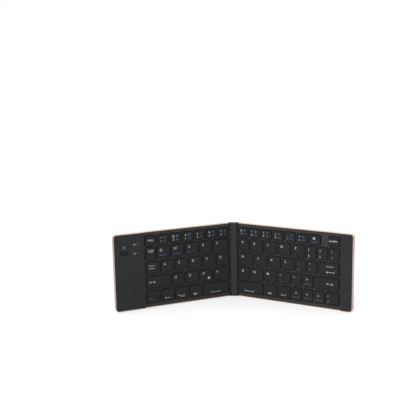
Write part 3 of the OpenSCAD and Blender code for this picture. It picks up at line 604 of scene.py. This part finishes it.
def make_caps(name, side):
    """The new caps of one node, in place of the model's."""
    rectangles, low, top = find_caps(name, side)
    surfaces = [cap_surface(r, low, top) for r in rectangles]
    points, quads, triangles = join_surfaces([surface[:3] for surface in surfaces])
    quads, triangles = turned_out(quads, triangles, side)
    piece = make_piece(name + "_caps", from_half(points, side), [quads, triangles], name, "key_plastic")
    # The face share on each point sets how much painted rim shade the key's material mixes in.
    shares = np.concatenate([surface[3] for surface in surfaces]).astype(np.float32)
    piece.data.attributes.new("face_share", "FLOAT", "POINT").data.foreach_set("value", shares)
    smooth_by_angle(piece, 50)
    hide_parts(name)
    return rectangles


LEFT_KEYS = [n for n in frame["bodies"] if n.startswith("key") and joints[n]["parent"] == "left_half"]
RIGHT_KEYS = [n for n in frame["bodies"] if n.startswith("key") and joints[n]["parent"] == "right_half"]
caps_of = {name: make_caps(name, "left") for name in LEFT_KEYS}
caps_of.update({name: make_caps(name, "right") for name in RIGHT_KEYS})
side_of = {name: "left" if name in LEFT_KEYS else "right" for name in caps_of}
print("caps made:", sum(len(rectangles) for rectangles in caps_of.values()))

# %% [markdown]
# ## Printing on the keys
# The keys carry plain letters, digits and signs. A letter comes from the built-in typeface, turned
# into a thin slab of ink. The signs for the command keys are strokes: a line of points given width
# and thickness. Every point of a mark is then laid on the dished face of its key.

# %% Ink shapes
INK_THICK = 0.03 * MM
INK_LIFT = 0.004 * MM
STROKE = 0.55 * MM
LETTER_WEIGHT = 0.02
letter_cache = {}


def letter_shape(text):
    """A letter or sign as points and triangles, one unit high for a capital, centred on zero."""
    if text not in letter_cache:
        curve = bpy.data.curves.new("letter", "FONT")
        curve.body = text
        curve.align_x = "CENTER"
        curve.resolution_u = 3
        curve.extrude = 0.5
        curve.offset = LETTER_WEIGHT
        maker = bpy.data.objects.new("letter", curve)
        bpy.context.scene.collection.objects.link(maker)
        bpy.context.view_layer.update()
        mesh = bpy.data.meshes.new_from_object(maker.evaluated_get(bpy.context.evaluated_depsgraph_get()))
        bpy.data.objects.remove(maker)
        shape = bmesh.new()
        shape.from_mesh(mesh)
        bmesh.ops.remove_doubles(shape, verts=shape.verts, dist=1e-5)
        bmesh.ops.triangulate(shape, faces=shape.faces)
        points = np.array([v.co for v in shape.verts])
        triangles = np.array([[v.index for v in f.verts] for f in shape.faces])
        shape.free()
        bpy.data.meshes.remove(mesh)
        letter_cache[text] = points, triangles
    return letter_cache[text]


CAPITAL = letter_shape("H")[0]
CAPITAL_HIGH = CAPITAL[:, 1].max() - CAPITAL[:, 1].min()


def letter_ink(text, x, y, high):
    """A letter's ink: points (x, y, layer) in metres, x to the right and y up, layer 0 or 1."""
    points, triangles = letter_shape(text)
    scale = high / CAPITAL_HIGH
    flat = points[:, :2] * scale
    flat = flat + (x, y - high / 2)
    return np.column_stack((flat, (points[:, 2] > 0).astype(float))), triangles


def stroke_ink(line, width=STROKE):
    """A line of points given width: a ribbon with mitred bends, from layer 0 to layer 1."""
    line = np.asarray(line, float)
    ahead = np.diff(line, axis=0)
    ahead /= np.linalg.norm(ahead, axis=1)[:, None]
    before, after = np.r_[ahead[:1], ahead], np.r_[ahead, ahead[-1:]]
    middle = before + after
    middle /= np.linalg.norm(middle, axis=1)[:, None]
    cosine = np.clip((middle * after).sum(1), 0.4, 1)
    aside = np.stack((-middle[:, 1], middle[:, 0]), 1) * (width / 2 / cosine)[:, None]
    left, right = line + aside, line - aside
    count = len(line)
    points = np.concatenate([np.column_stack((edge, np.full(count, layer)))
                             for layer in (0.0, 1.0) for edge in (left, right)])
    here = np.arange(count - 1)
    low_left, low_right, top_left, top_right = (here + k * count for k in range(4))
    quads = np.concatenate([
        np.stack((top_left, top_right, top_right + 1, top_left + 1), 1),
        np.stack((low_right, low_left, low_left + 1, low_right + 1), 1),
        np.stack((low_left, top_left, top_left + 1, low_left + 1), 1),
        np.stack((top_right, low_right, low_right + 1, top_right + 1), 1),
        [[0, count, 3 * count, 2 * count]],
        [[count - 1, 3 * count - 1, 4 * count - 1, 2 * count - 1]]])
    return points, np.concatenate((quads[:, [0, 1, 2]], quads[:, [0, 2, 3]]))


def disc_ink(x, y, radius, sides=20):
    """A filled dot: a fan of triangles on both layers, with a rim."""
    angle = np.linspace(0, 2 * math.pi, sides, endpoint=False)
    rim = np.stack((x + radius * np.cos(angle), y + radius * np.sin(angle)), 1)
    layers = [np.column_stack((rim, np.full(sides, layer))) for layer in (0.0, 1.0)]
    points = np.concatenate(layers + [[[x, y, 0], [x, y, 1]]])
    here = np.arange(sides)
    after = (here + 1) % sides
    low, top = np.full(sides, 2 * sides), np.full(sides, 2 * sides + 1)
    return points, np.concatenate([
        np.stack((after, here, low), 1), np.stack((here + sides, after + sides, top), 1),
        np.stack((here, after, after + sides), 1), np.stack((here, after + sides, here + sides), 1)])


def arc(x, y, radius, start, end, steps=14):
    """Points along an arc, with angles in degrees."""
    angle = np.radians(np.linspace(start, end, steps))
    return np.stack((x + radius * np.cos(angle), y + radius * np.sin(angle)), 1)


print("a capital of the typeface is", round(float(CAPITAL_HIGH), 3), "units high")

# %% [markdown]
# The signs are generic ones, drawn in a box about eight millimetres wide. Each is a list of lines
# in millimetres, with `x` to the right and `y` up from the sign's middle. Most are arrows and bars
# like those that any keyboard could carry.

# %% Signs for the command keys
SIGNS = {
    "escape": [arc(-2.2, 0, 1.1, -60, 210), [(-2.2, 0), (-2.2, 1.2)],
               [(0, -0.6), (4, -0.6)], [(0, 0.6), (3, 0.6)]],
    "tab": [[(-3.6, 0.9), (2.4, 0.9)], [(1.2, 1.7), (2.6, 0.9), (1.2, 0.1)], [(3.4, 1.8), (3.4, 0)],
            [(3.6, -0.9), (-2.4, -0.9)]],
    "caps": [[(-4, 1.3), (-3.1, 2.3), (-2.2, 1.3)], [(-1.2, 1.7), (4, 1.7)],
             [(-3.8, -1.6), (3.8, -1.6)]],
    "shift": [[(-4, -0.9), (-2.4, 0.9), (-0.8, -0.9)], [(0.4, -0.7), (4.2, -0.7)],
              [(0.4, 0.6), (3.2, 0.6)]],
    "control": [[(-3.2, -0.8), (-1.6, 0.8), (0, -0.8)], [(1, 0), (3.4, 0)]],
    "option": [[(-4.4, 0.8), (-2.2, 0.8), (0.2, -0.8), (4.2, -0.8)], [(1.2, 0.8), (4.2, 0.8)]],
    "diamond": [[(-2.2, 0), (0, 1.1), (2.2, 0), (0, -1.1), (-2.2, 0)]],
    "space": [[(-5.6, 0.9), (-5.6, -0.7), (5.6, -0.7), (5.6, 0.9)]],
    "back": [[(-5, 0), (5, 0)], [(-3.4, 1.1), (-5.1, 0), (-3.4, -1.1)], [(-1.5, 0.9), (4, 0.9)]],
    "enter": [[(5, 1.4), (5, -0.2), (-4.6, -0.2)], [(-3.0, 0.9), (-4.7, -0.2), (-3.0, -1.3)]],
    "bar": [[(-4.6, 0), (4.6, 0)]],
    "short_bar": [[(-2.4, 0), (2.4, 0)]],
    "dashes": [[(-4.6, 0), (-1.8, 0)], [(-0.9, 0), (1.4, 0)], [(2.3, 0), (4.6, 0)]],
    "power": [arc(0, 0, 1.35, 125, 415), [(0, 0.5), (0, 2.0)]],
    "cell": [[(-1.1, -0.7), (1.1, -0.7), (1.1, 0.7), (-1.1, 0.7), (-1.1, -0.7)]],
    "play": [[(-0.8, -0.9), (0.9, 0), (-0.8, 0.9), (-0.8, -0.9)]],
    "stop": [[(-0.8, -0.8), (0.8, -0.8), (0.8, 0.8), (-0.8, 0.8), (-0.8, -0.8)]],
    "pause": [[(-0.5, -0.9), (-0.5, 0.9)], [(0.6, -0.9), (0.6, 0.9)]],
    "plus": [[(-0.9, 0), (0.9, 0)], [(0, -0.9), (0, 0.9)]],
    "minus": [[(-0.9, 0), (0.9, 0)]],
    "ring": [arc(0, 0, 0.8, 0, 360)],
    "up": [[(-1.1, -0.6), (0, 0.8), (1.1, -0.6)]],
    "down": [[(-1.1, 0.6), (0, -0.8), (1.1, 0.6)]],
    "left": [[(0.8, 1.1), (-0.7, 0), (0.8, -1.1)]],
    "right": [[(-0.8, 1.1), (0.7, 0), (-0.8, -1.1)]],
}


def sign_ink(name, x, y, width=STROKE):
    """All the strokes of a sign, centred on a place in metres."""
    shapes = []
    for line in SIGNS[name]:
        shapes.append(stroke_ink(np.asarray(line) * MM + (x, y), width))
    return shapes


# %% [markdown]
# Now the layout. Each half's marks have a small shift, fitted to where the picture has them. A mark
# is a letter or sign, with the distance of its middle from the key's left and back edges in
# millimetres, its height, and its ink. Letter keys share one rule, number keys another, and the
# command keys each have their own line.

# %% Layout of the printing
LETTER_HIGH, SMALL_HIGH = 2.9, 2.2
WHITE, BLUE, GREY = "print_white", "print_blue", "print_grey"


def letter_marks(text):
    """One letter, towards the key's upper left."""
    return [(text, 5.4, 5.0, LETTER_HIGH, WHITE)]


def number_marks(low, high, sign, function):
    """Digit under its shifted sign, with a small sign and a function's name in blue beside them."""
    return [(high, 3.8, 3.9, SMALL_HIGH, WHITE), (low, 3.8, 8.2, SMALL_HIGH, WHITE),
            (sign, 8.6, 3.8, None, BLUE), (function, 8.8, 8.2, SMALL_HIGH * 0.8, BLUE)]


def pair_marks(low, high):
    """A mark and its shifted one above it."""
    return [(high, 3.7, 4.8, SMALL_HIGH * 1.1, WHITE), (low, 3.7, 11.9, SMALL_HIGH * 1.1, WHITE)]


ROWS = {
    "keys_left_numbers": [number_marks(*m) for m in (
        ("1", "!", "ring", "F1"), ("2", "@", "stop", "F2"), ("3", "#", "cell", "F3"),
        ("4", "$", "minus", "F4"), ("5", "%", "plus", "F5"), ("6", "^", "pause", "F6"))],
    "keys_right_numbers": [number_marks(*m) for m in (
        ("7", "&", "play", "F7"), ("8", "*", "stop", "F8"), ("9", "(", "left", "F9"),
        ("0", ")", "right", "F10"), ("-", "_", "up", "F11"), ("=", "+", "down", "F12"))]
    + [[("dot", 6.6, 4.7, 1.5, WHITE), ("dashes", 7.0, 8.9, None, BLUE)]],
    "keys_left_upper_letters": [letter_marks(c) for c in "QWERT"],
    "keys_left_home_letters": [letter_marks(c) for c in "ASDFG"],
    "keys_left_lower_letters": [letter_marks(c) for c in "ZXCV"],
    "keys_right_upper_letters": [letter_marks(c) for c in "YUIOP"],
    "keys_right_home_letters": [letter_marks(c) for c in "HJKL"],
    "keys_right_lower_letters": [letter_marks(c) for c in "BNM"],
    "keys_brackets": [pair_marks("[", "{"), pair_marks("]", "}"), pair_marks("\\", "|")],
    "keys_semicolon_quote": [pair_marks(";", ":"), pair_marks("'", '"')],
    "keys_comma_period": [pair_marks(",", "<"), pair_marks(".", ">")],
    "key_slash": [pair_marks("/", "?")],
    "key_escape": [[("escape", 6.9, 6.0, None, WHITE)]],
    "key_backspace": [[("back", 6.8, 6.0, None, WHITE)]],
    "key_tab": [[("tab", 6.3, 5.4, None, WHITE)]],
    "key_caps_lock": [[("caps", 7.6, 7.1, None, WHITE)]],
    "key_left_shift": [[("shift", 7.6, 7.7, None, WHITE)]],
    "key_right_shift": [[("shift", -10.5, 8.1, None, WHITE)]],
    "key_enter": [[("bar", -10.8, 4.9, None, WHITE), ("enter", -10.4, 11.6, None, WHITE)]],
    "key_function": [[("short_bar", 5.4, 10.6, None, GREY)]],
    "key_left_control": [[("control", 7.6, 11.4, None, WHITE)]],
    "key_left_option": [[("option", 7.6, 11.5, None, WHITE)]],
    "key_left_command": [[("diamond", 7.6, 11.5, None, WHITE)]],
    "key_left_space": [[("space", 16.0, 11.8, None, WHITE)]],
    "key_right_space": [[("space", 14.0, 11.8, None, WHITE)]],
    "key_right_option": [[("diamond", 7.6, 11.5, None, WHITE)]],
    "key_right_control": [[("control", 7.6, 11.4, None, WHITE)]],
    "key_up_arrow": [[("up", 5.8, 6.0, None, WHITE), ("dashes", 5.8, 11.4, None, BLUE)]],
    "key_left_arrow": [[("left", 5.8, 6.4, None, WHITE), ("dashes", 5.8, 11.4, None, GREY)]],
    "key_down_arrow": [[("down", 5.8, 6.4, None, WHITE), ("dashes", 5.8, 11.4, None, GREY)]],
    "key_right_arrow": [[("right", 5.8, 6.4, None, WHITE), ("dashes", 5.8, 11.4, None, GREY)]],
}
ROWS["keys_left_upper_letters"][0].append(("bar", 7.3, 11.6, None, BLUE))
ROWS["keys_left_upper_letters"][1].append(("dashes", 7.0, 11.6, None, BLUE))
ROWS["keys_left_upper_letters"][2].append(("short_bar", 5.0, 11.6, None, BLUE))
ROWS["keys_left_lower_letters"][2].append(("dot", 12.3, 11.5, 1.5, WHITE))

# %% Print the keys
PRINT_SHIFT = {("left", True): 0.9, ("right", True): -0.9, ("right", False): -0.9}


def mark_shapes(mark, x, y):
    """The ink of one mark, as a list of (points, triangles) round its place."""
    what, _, _, size, _ = mark
    if what == "dot":
        return [disc_ink(x, y, size * MM)]
    if what in SIGNS:
        return sign_ink(what, x, y)
    return [letter_ink(what, x, y, size * MM)]


def lay_on_cap(shape, rectangle, side, top):
    """Lays flat ink on a dished cap: layer 0 sinks into the face and layer 1 stands just proud."""
    points, triangles = shape
    u0, u1, y0, y1 = rectangle
    half_u, half_y = (u1 - u0) / 2, (y1 - y0) / 2
    left_to_right = -1 if side == "left" else 1
    u = (u0 + u1) / 2 + left_to_right * (points[:, 0] - half_u)
    y = y1 + points[:, 1]
    dish = dish_height(u - (u0 + u1) / 2, y - (y0 + y1) / 2, half_u, half_y)
    w = top + dish + INK_LIFT + (points[:, 2] - 1) * INK_THICK + INK_THICK / 3
    return np.column_stack((u, y, w)), triangles


def print_node(name):
    """One piece of ink for each colour on a key node."""
    side = side_of[name]
    top = to_half(node_points(name), side)[:, 2].max()
    by_ink = {}
    for rectangle, marks in zip(caps_of[name], ROWS[name]):
        width = rectangle[1] - rectangle[0]
        for mark in marks:
            x = mark[1] * MM if mark[1] > 0 else width + mark[1] * MM
            x += PRINT_SHIFT.get((side, name.endswith("numbers")), 0) * MM
            for shape in mark_shapes(mark, x, -mark[2] * MM):
                by_ink.setdefault(mark[4], []).append(lay_on_cap(shape, rectangle, side, top))
    for slot, shapes in by_ink.items():
        no_quads = np.zeros((0, 4), int)
        points, _, triangles = join_surfaces([(p, no_quads, t) for p, t in shapes])
        make_piece(name + "_" + slot, from_half(points, side), [triangles], name, slot)


for name in caps_of:
    print_node(name)

# %% [markdown]
# ## Marks on the control panel
# A power sign stands behind the slider, and a small sign beside each light says what it shows. They
# are printed on the flat panel in the same way, but with no dish to follow.

# %% Print the control panel
PANEL_STROKE = 0.3 * MM
KNOB_SKIN = 0.2 * MM
LIGHT_HALF = 1.95 * MM
POWER_IN, POWER_UP = 1.8 * MM, 4.6 * MM
LIGHT_SIGN_IN = 4.2 * MM


def panel_marks():
    """Power sign and two light signs, placed from the slider's and the lights' own boxes."""
    panel_top = to_half(node_points("left_control_panel"), "left")[:, 2].max()
    slider = to_half(node_points("power_slider"), "left")
    lights = to_half(node_points("status_lights"), "left")
    knob = slider[slider[:, 2] > slider[:, 2].max() - KNOB_SKIN]
    light_u = (lights[:, 0].min() + lights[:, 0].max()) / 2
    light_y = (lights[:, 1].max() + lights[:, 1].min()) / 2
    light_gap = (lights[:, 1].max() - lights[:, 1].min()) / 2 - LIGHT_HALF
    slot_u = (slider[:, 0].min() + slider[:, 0].max()) / 2 - POWER_IN
    places = [("power", slot_u, knob[:, 1].max() + POWER_UP, WHITE),
              ("cell", light_u - LIGHT_SIGN_IN, light_y + light_gap, GREY),
              ("play", light_u - LIGHT_SIGN_IN, light_y - light_gap, GREY)]
    for what, u, y, slot in places:
        shapes = []
        for points, triangles in sign_ink(what, 0, 0, PANEL_STROKE):
            w = panel_top + (points[:, 2] - 1) * INK_THICK + INK_THICK / 3
            laid = np.column_stack((u - points[:, 0], y + points[:, 1], w))
            shapes.append((laid, np.zeros((0, 4), int), triangles))
        points, _, triangles = join_surfaces(shapes)
        make_piece("panel_sign_" + what, from_half(points, "left"), [triangles], "left_half", slot)


panel_marks()

# %% [markdown]
# ## Rubber feet
# A foot is a turned shape: a profile from the dimple in its middle, over a round rim, down into its
# pocket, carried once round its own axis. It takes the place of the model's plainer disc.

# %% Feet
FOOT_SIDES = 56
FOOT_RIM = 0.45 * MM
DIMPLE, DIMPLE_DEEP = 1.5 * MM, 0.22 * MM
GROOVE_PLACES = np.array([2.35, 2.5, 2.62, 2.77]) * MM
GROOVE_DEPTHS = np.array([0, 0.1, 0.1, 0]) * MM


def foot_profile(radius, face, seat):
    """Radii and heights from the dimple, over a groove and the rim, to the seat. Face is below seat."""
    bend = np.linspace(0, math.pi / 2, 6)
    ease = np.linspace(0, 1, 5)
    bowl_r = np.r_[0.35 * DIMPLE, DIMPLE * (0.6 + 0.4 * ease)]
    bowl_w = np.r_[DIMPLE_DEEP, DIMPLE_DEEP * (1 + np.cos(math.pi * ease)) / 2]
    radii = np.r_[bowl_r, GROOVE_PLACES, radius - FOOT_RIM + FOOT_RIM * np.sin(bend), radius]
    heights = np.r_[face + bowl_w, face + GROOVE_DEPTHS, face + FOOT_RIM * (1 - np.cos(bend)), seat]
    return radii, heights


def make_feet(side):
    """Both feet of a half, each where the model has it."""
    name = side + "_feet"
    points = to_half(node_points(name), side)
    face, seat = points[:, 2].min(), points[:, 2].max()
    middle = (points[:, 0].min() + points[:, 0].max()) / 2
    surfaces = []
    for foot in (points[points[:, 0] < middle], points[points[:, 0] > middle]):
        centre = (foot.max(0) + foot.min(0)) / 2
        radii, heights = foot_profile((foot[:, 0].max() - foot[:, 0].min()) / 2, face, seat)
        turn = np.linspace(0, 2 * math.pi, FOOT_SIDES, endpoint=False)
        rings = np.stack((centre[0] + radii[:, None] * np.cos(turn),
                          centre[1] + radii[:, None] * np.sin(turn),
                          np.broadcast_to(heights[:, None], (len(radii), FOOT_SIDES))), -1).reshape(-1, 3)
        poles = np.array([[centre[0], centre[1], heights[0]], [centre[0], centre[1], seat]])
        here = np.arange(FOOT_SIDES)
        after = (here + 1) % FOOT_SIDES
        levels = np.arange(len(radii) - 1)[:, None] * FOOT_SIDES
        quads = np.stack((levels + after, levels + here, levels + FOOT_SIDES + here,
                          levels + FOOT_SIDES + after), -1).reshape(-1, 4)
        last = (len(radii) - 1) * FOOT_SIDES
        first_pole = np.full(FOOT_SIDES, last + FOOT_SIDES)
        fans = np.concatenate((np.stack((here, after, first_pole), 1),
                               np.stack((last + after, last + here, first_pole + 1), 1)))
        surfaces.append((np.concatenate((rings, poles)), quads[:, ::-1], fans[:, ::-1]))
    points, quads, fans = join_surfaces(surfaces)
    quads, fans = turned_out(quads, fans, side)
    piece = make_piece(side + "_rubber_feet", from_half(points, side), [quads, fans], side + "_half",
                       "foot_rubber")
    smooth_by_angle(piece, 60)
    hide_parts(name)


make_feet("left")
make_feet("right")

# %% [markdown]
# ## Floor and light
# The floor is a pale sheet just under the keyboard. What the camera, mirrors and glass see of it is
# lifted towards white, while the shadow stays. A broad sun from the left and the front, and the
# light of a white room, keep every colour close to the value that it was given.

# %% Floor
FLOOR_SIZE = 6.0
FLOOR_DROP = 0.1 * MM
FLOOR_COLOUR = (0.93, 0.93, 0.935)
FLOOR_LIFT = 0.35


def make_floor():
    """One large square under the object, with a lift for the rays of camera, mirrors and glass."""
    half = FLOOR_SIZE / 2
    corners = np.array([[-half, -half, -FLOOR_DROP], [half, -half, -FLOOR_DROP],
                        [half, half, -FLOOR_DROP], [-half, half, -FLOOR_DROP]])
    mesh = bpy.data.meshes.new("floor")
    mesh.from_pydata(corners.tolist(), [], [(0, 1, 2, 3)])
    floor = bpy.data.objects.new("floor", mesh)
    bpy.context.scene.collection.objects.link(floor)
    material, shader = start_finish("floor_white", 0.9, specular=0.0)
    drift_colour(material, shader, FLOOR_COLOUR, 0.004, 3)
    tree = material.node_tree
    glow = tree.nodes.new("ShaderNodeEmission")
    both = tree.nodes.new("ShaderNodeAddShader")
    tree.links.new(math_node(tree, "MULTIPLY", picture_ray(tree), FLOOR_LIFT), glow.inputs["Strength"])
    tree.links.new(shader.outputs["BSDF"], both.inputs[0])
    tree.links.new(glow.outputs["Emission"], both.inputs[1])
    tree.links.new(both.outputs["Shader"], tree.nodes["Material Output"].inputs["Surface"])
    mesh.materials.append(material)


make_floor()

# %% Sun
SUN_STRENGTH = 1.7
SUN_SPREAD = math.radians(50)
SUN_FROM = Vector((-0.55, -0.75, 1.0))


def make_sun():
    """A broad sun, whose wide angle gives the shadows their soft rims."""
    sun = bpy.data.objects.new("sun", bpy.data.lights.new("sun", "SUN"))
    sun.data.energy = SUN_STRENGTH
    sun.data.angle = SUN_SPREAD
    sun.rotation_euler = SUN_FROM.to_track_quat("Z", "Y").to_euler()
    bpy.context.scene.collection.objects.link(sun)


make_sun()

# %% [markdown]
# The room is a studio: white paper behind and above, and darker towards the sides and the front,
# where nothing stands. The eye, mirrors and glass see plain white all round. As a light, the room
# falls off with direction: a dot product of the ray with a leaning arrow, plus a base, held
# between two limits.

# %% Room
ROOM_BASE = 0.3
ROOM_LEAN = (0.0, 0.42, 0.45)
ROOM_LIMITS = (0.08, 1.0)


def make_room():
    """World strength: 1 as the camera, mirrors and glass see it, and else base + ray . lean, held."""
    world = bpy.data.worlds.new("room")
    world.use_nodes = True
    bpy.context.scene.world = world
    tree = world.node_tree
    background = tree.nodes["Background"]
    background.inputs["Color"].default_value = (1, 1, 1, 1)
    ray = tree.nodes.new("ShaderNodeTexCoord")
    slope = tree.nodes.new("ShaderNodeVectorMath")
    slope.operation = "DOT_PRODUCT"
    slope.inputs[1].default_value = ROOM_LEAN
    tree.links.new(ray.outputs["Generated"], slope.inputs[0])
    light = math_node(tree, "ADD", slope.outputs["Value"], ROOM_BASE)
    held = math_node(tree, "MAXIMUM", light, ROOM_LIMITS[0])
    held = math_node(tree, "MINIMUM", held, ROOM_LIMITS[1])
    strength = math_node(tree, "MAXIMUM", held, picture_ray(tree))
    tree.links.new(strength, background.inputs["Strength"])


make_room()
